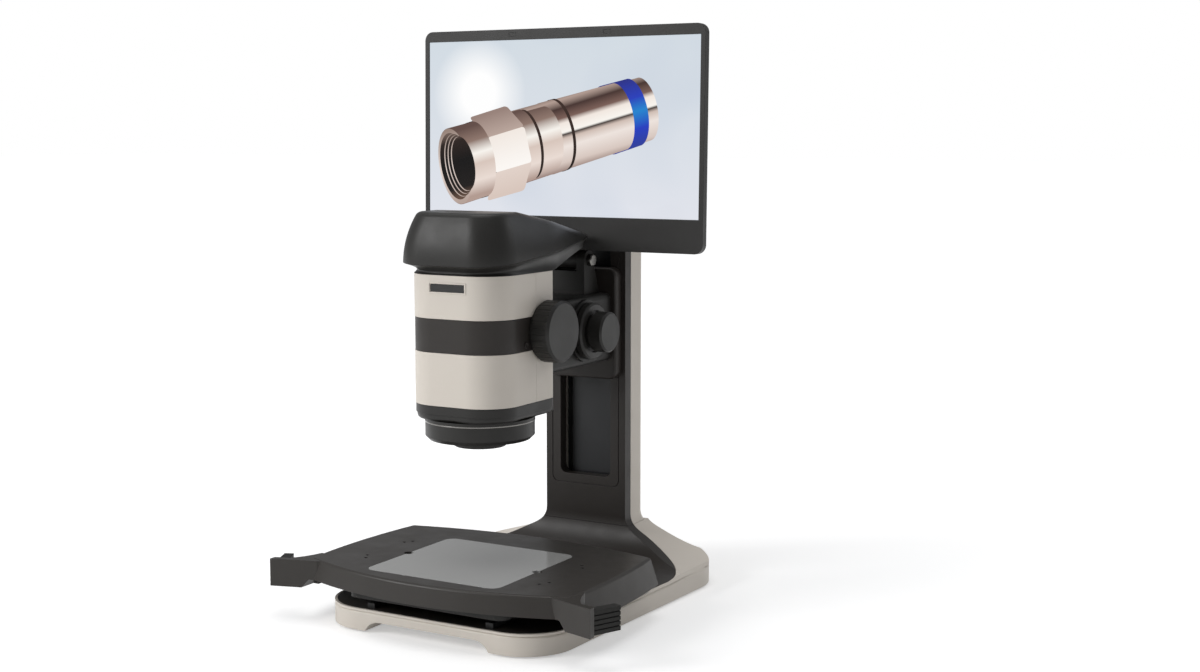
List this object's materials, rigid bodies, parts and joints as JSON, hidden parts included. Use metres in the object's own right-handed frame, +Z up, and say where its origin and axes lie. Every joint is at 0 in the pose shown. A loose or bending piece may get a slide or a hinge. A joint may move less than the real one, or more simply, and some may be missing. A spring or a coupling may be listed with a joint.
{
  "type": "stereo microscope",
  "caption": "Digital stereo microscope with a camera head on a focus column, a floating stage on a low base and a flat glasses-free display behind the head.",
  "frame": {"origin": "on the floor, under the centre of the whole part's bounding box", "axes": "+Z up, +Y from the operator towards the column at the back, +X to the operator's right"},
  "size_m": [0.41, 0.4114, 0.6195],
  "materials": {
    "cream_shell": "satin warm cream moulding",
    "charcoal_shell": "satin warm charcoal moulding",
    "charcoal_metal": "satin charcoal coat on cast metal",
    "recess_steel": "blue-black coat on ground steel",
    "bare_aluminium": "natural anodised",
    "bright_steel": "polished",
    "guide_steel": "ground",
    "knob_plastic": "fine satin grain",
    "grip_rubber": "ribbed",
    "foot_rubber": "plain",
    "smoked_glass": "grey glass plate",
    "lens_glass": "coated",
    "diffuser": "frosted",
    "display_glass": "flat display with a lit picture",
    "window_plastic": "smoked"
  },
  "bodies": {
    "base": {"base_shell": "cream_shell", "rubber_feet": "foot_rubber", "base_cover": "charcoal_shell", "column_cover": "charcoal_shell", "column_shell": "cream_shell", "column_cap": "charcoal_shell", "column_spine": "bare_aluminium", "focus_rail": "recess_steel", "inlet_panel": "charcoal_shell", "power_inlet": "knob_plastic", "depth_guides": "guide_steel"},
    "power_switch": {"power_rocker": "knob_plastic"},
    "carriage": {"stage_carriage": "charcoal_metal", "depth_blocks": "guide_steel", "cross_guides": "guide_steel"},
    "stage": {"stage_body": "charcoal_metal", "stage_glass": "smoked_glass", "stage_screws": "bright_steel", "left_grip": "grip_rubber", "right_grip": "grip_rubber", "cross_blocks": "guide_steel"},
    "head": {"head_shell_lower": "cream_shell", "head_shell_upper": "cream_shell", "head_band": "charcoal_shell", "status_window": "window_plastic", "head_trim": "charcoal_shell", "head_frame": "bare_aluminium", "optics_barrel": "bare_aluminium", "left_camera": "bare_aluminium", "right_camera": "bare_aluminium", "head_back_cover": "charcoal_shell", "hood": "charcoal_shell", "hood_flange": "charcoal_shell", "objective_collar": "charcoal_metal", "silver_ring": "bright_steel", "objective": "charcoal_metal", "ring_light": "diffuser", "front_lens": "lens_glass", "head_arm": "charcoal_metal", "focus_housing": "charcoal_shell", "focus_slider": "bare_aluminium", "tilt_bracket": "charcoal_metal", "hinge_pin": "bright_steel"},
    "zoom_knobs": {"zoom_shaft": "guide_steel", "left_zoom_knob": "knob_plastic", "right_zoom_knob": "knob_plastic"},
    "coarse_knobs": {"coarse_shaft": "guide_steel", "left_coarse_knob": "knob_plastic", "right_coarse_knob": "knob_plastic"},
    "fine_knobs": {"fine_shaft": "guide_steel", "left_fine_knob": "knob_plastic", "right_fine_knob": "knob_plastic"},
    "screen": {"screen_bezel": "charcoal_shell", "screen_panel": "display_glass", "tracking_eyes": "lens_glass", "screen_back": "charcoal_shell", "tilt_plate": "charcoal_metal"}
  },
  "joints": [
    {"name": "stage_depth_slide", "type": "slide", "parent": "base", "child": "carriage", "axis": [0, 1, 0], "range_m": [-0.032, 0.068]},
    {"name": "stage_cross_slide", "type": "slide", "parent": "carriage", "child": "stage", "axis": [1, 0, 0], "range_m": [-0.05, 0.05]},
    {"name": "focus_slide", "type": "slide", "parent": "base", "child": "head", "axis": [0, 0, 1], "range_m": [-0.085, 0.045]},
    {"name": "coarse_turn", "type": "hinge", "parent": "head", "child": "coarse_knobs", "pos_m": [0, 0.06168, 0.2915], "axis": [1, 0, 0], "range_deg": [-766, 406]},
    {"name": "fine_turn", "type": "hinge", "parent": "head", "child": "fine_knobs", "pos_m": [0, 0.06168, 0.2915], "axis": [1, 0, 0], "range_deg": [-3826, 2026]},
    {"name": "zoom_turn", "type": "hinge", "parent": "head", "child": "zoom_knobs", "pos_m": [0, -0.05132, 0.3038], "axis": [1, 0, 0], "range_deg": [-135, 135]},
    {"name": "screen_tilt", "type": "hinge", "parent": "head", "child": "screen", "pos_m": [0, 0.09668, 0.366], "axis": [-1, 0, 0], "range_deg": [-3, 10]},
    {"name": "power_press", "type": "hinge", "parent": "base", "child": "power_switch", "pos_m": [0, 0.17718, 0.126], "axis": [1, 0, 0], "range_deg": [0, 12]}
  ],
  "couplings": [
    {"joint": "coarse_turn", "follows": "focus_slide", "rad_per_m": 157.08},
    {"joint": "fine_turn", "follows": "focus_slide", "rad_per_m": 785.4}
  ]
}
